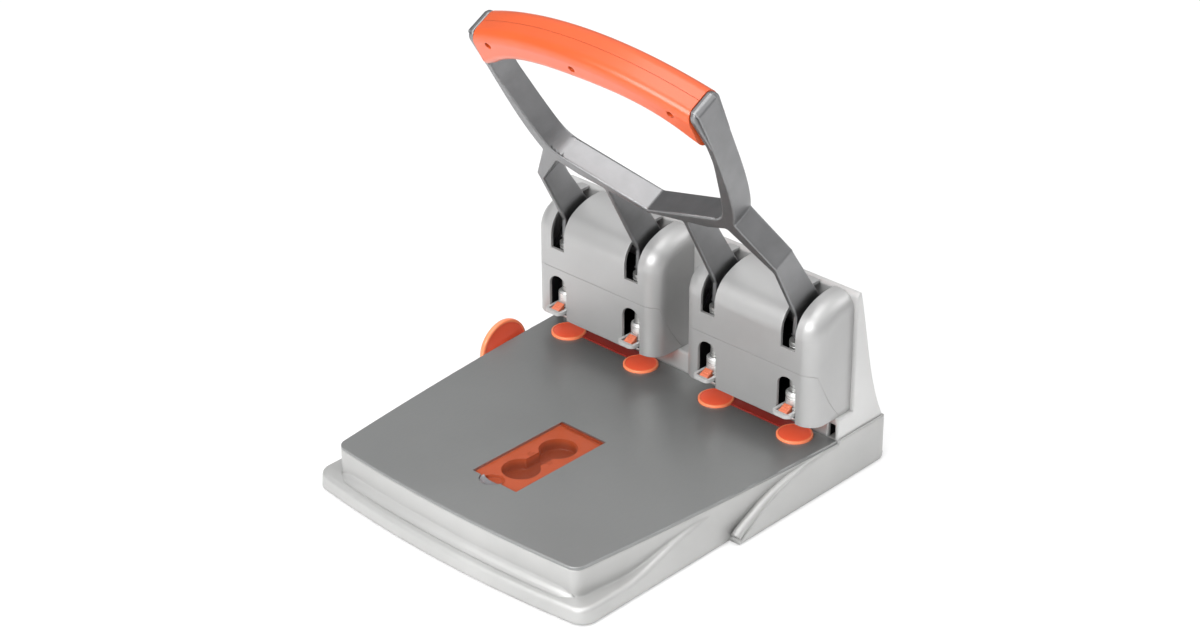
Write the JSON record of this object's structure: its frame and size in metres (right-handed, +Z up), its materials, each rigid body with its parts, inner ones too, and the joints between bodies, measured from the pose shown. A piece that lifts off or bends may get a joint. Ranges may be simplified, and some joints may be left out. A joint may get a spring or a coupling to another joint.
{
  "type": "four-hole lever punch",
  "caption": "Heavy-duty desk punch: a long sprung lever drives a row of hollow cutters through two heads, over a wide paper table with side guide.",
  "frame": {"origin": "on the desk plane, straight below the middle of the row of four punch pins", "axes": "+X along the row of pins to the user's right, +Y to the back, +Z up"},
  "size_m": [0.3115, 0.346, 0.3701],
  "materials": {
    "shell_silver": "satin light grey paint",
    "table_grey": "satin dark grey paint",
    "housing_silver": "satin light silver",
    "cover_silver": "satin silver grey",
    "dark_plastic": "matte black",
    "foot_rubber": "matte",
    "lid_orange_clear": "transparent dark orange",
    "frame_black": "black",
    "steel": "plain steel",
    "steel_bright": "bright steel",
    "carrier_red": "dark red-orange",
    "disc_orange": "satin red-orange",
    "fork_grey": "light grey",
    "cast_grey": "metallic grey paint on a casting",
    "grip_orange": "semi-gloss orange"
  },
  "bodies": {
    "base": {"base_shell": "shell_silver", "table_plate": "table_grey", "bottom_plate": "dark_plastic", "foot_front_left": "foot_rubber", "foot_front_right": "foot_rubber", "foot_rear_left": "foot_rubber", "foot_rear_right": "foot_rubber", "foot_centre": "foot_rubber", "well_insert": "dark_plastic", "rear_housing": "housing_silver", "head_cover_left": "cover_silver", "head_cover_right": "cover_silver", "front_cover_left": "cover_silver", "front_cover_right": "cover_silver", "pin_frame_left": "frame_black", "pin_frame_right": "frame_black", "pivot_axle_left": "steel", "pivot_axle_right": "steel", "disc_carrier_left": "carrier_red", "disc_carrier_right": "carrier_red", "guide_sleeve_1": "steel_bright", "guide_sleeve_2": "steel_bright", "guide_sleeve_3": "steel_bright", "guide_sleeve_4": "steel_bright"},
    "lever": {"handle_frame": "cast_grey", "grip_front": "grip_orange", "grip_rear": "grip_orange", "grip_screw_1": "steel", "grip_screw_2": "steel", "grip_screw_3": "steel"},
    "lid": {"lid": "lid_orange_clear"},
    "side_guide": {"side_guide_rod": "steel", "side_guide_knob": "disc_orange"},
    "drawer": {"chip_drawer": "housing_silver"},
    "pin_1": {"punch_pin_1": "steel_bright", "return_spring_1": "steel"},
    "disc_1": {"cutting_disc_1": "disc_orange"},
    "release_1": {"release_fork_1": "fork_grey", "release_tab_1": "disc_orange"},
    "pin_2": {"punch_pin_2": "steel_bright", "return_spring_2": "steel"},
    "disc_2": {"cutting_disc_2": "disc_orange"},
    "release_2": {"release_fork_2": "fork_grey", "release_tab_2": "disc_orange"},
    "pin_3": {"punch_pin_3": "steel_bright", "return_spring_3": "steel"},
    "disc_3": {"cutting_disc_3": "disc_orange"},
    "release_3": {"release_fork_3": "fork_grey", "release_tab_3": "disc_orange"},
    "pin_4": {"punch_pin_4": "steel_bright", "return_spring_4": "steel"},
    "disc_4": {"cutting_disc_4": "disc_orange"},
    "release_4": {"release_fork_4": "fork_grey", "release_tab_4": "disc_orange"}
  },
  "joints": [
    {"name": "lever_hinge", "type": "hinge", "parent": "base", "child": "lever", "pos_m": [0, 0.027, 0.124], "axis": [1, 0, 0], "range_deg": [0, 37], "stiffness_Nm_per_rad": 0.6, "springref_deg": -114.59},
    {"name": "pin_slide_1", "type": "slide", "parent": "base", "child": "pin_1", "axis": [0, 0, -1], "range_m": [0, 0.01697], "deforming": ["return_spring_1"]},
    {"name": "disc_turn_1", "type": "hinge", "parent": "base", "child": "disc_1", "pos_m": [-0.12, 0, 0.0355], "axis": [0, 0, 1], "continuous": true},
    {"name": "release_slide_1", "type": "slide", "parent": "base", "child": "release_1", "axis": [0, -1, 0], "range_m": [0, 0.009]},
    {"name": "pin_slide_2", "type": "slide", "parent": "base", "child": "pin_2", "axis": [0, 0, -1], "range_m": [0, 0.01697], "deforming": ["return_spring_2"]},
    {"name": "disc_turn_2", "type": "hinge", "parent": "base", "child": "disc_2", "pos_m": [-0.04, 0, 0.0355], "axis": [0, 0, 1], "continuous": true},
    {"name": "release_slide_2", "type": "slide", "parent": "base", "child": "release_2", "axis": [0, -1, 0], "range_m": [0, 0.009]},
    {"name": "pin_slide_3", "type": "slide", "parent": "base", "child": "pin_3", "axis": [0, 0, -1], "range_m": [0, 0.01697], "deforming": ["return_spring_3"]},
    {"name": "disc_turn_3", "type": "hinge", "parent": "base", "child": "disc_3", "pos_m": [0.04, 0, 0.0355], "axis": [0, 0, 1], "continuous": true},
    {"name": "release_slide_3", "type": "slide", "parent": "base", "child": "release_3", "axis": [0, -1, 0], "range_m": [0, 0.009]},
    {"name": "pin_slide_4", "type": "slide", "parent": "base", "child": "pin_4", "axis": [0, 0, -1], "range_m": [0, 0.01697], "deforming": ["return_spring_4"]},
    {"name": "disc_turn_4", "type": "hinge", "parent": "base", "child": "disc_4", "pos_m": [0.12, 0, 0.0355], "axis": [0, 0, 1], "continuous": true},
    {"name": "release_slide_4", "type": "slide", "parent": "base", "child": "release_4", "axis": [0, -1, 0], "range_m": [0, 0.009]},
    {"name": "lid_hinge", "type": "hinge", "parent": "base", "child": "lid", "pos_m": [-0.001, -0.1086, 0.03875], "axis": [-1, 0, 0], "range_deg": [0, 105]},
    {"name": "side_guide_slide", "type": "slide", "parent": "base", "child": "side_guide", "axis": [-1, 0, 0], "range_m": [0, 0.07]},
    {"name": "drawer_slide", "type": "slide", "parent": "base", "child": "drawer", "axis": [0, 1, 0], "range_m": [0, 0.028]}
  ],
  "couplings": [
    {"joint": "pin_slide_1", "follows": "lever_hinge", "m_per_rad": 0.026242},
    {"joint": "pin_slide_2", "follows": "lever_hinge", "m_per_rad": 0.026242},
    {"joint": "pin_slide_3", "follows": "lever_hinge", "m_per_rad": 0.026242},
    {"joint": "pin_slide_4", "follows": "lever_hinge", "m_per_rad": 0.026242}
  ]
}
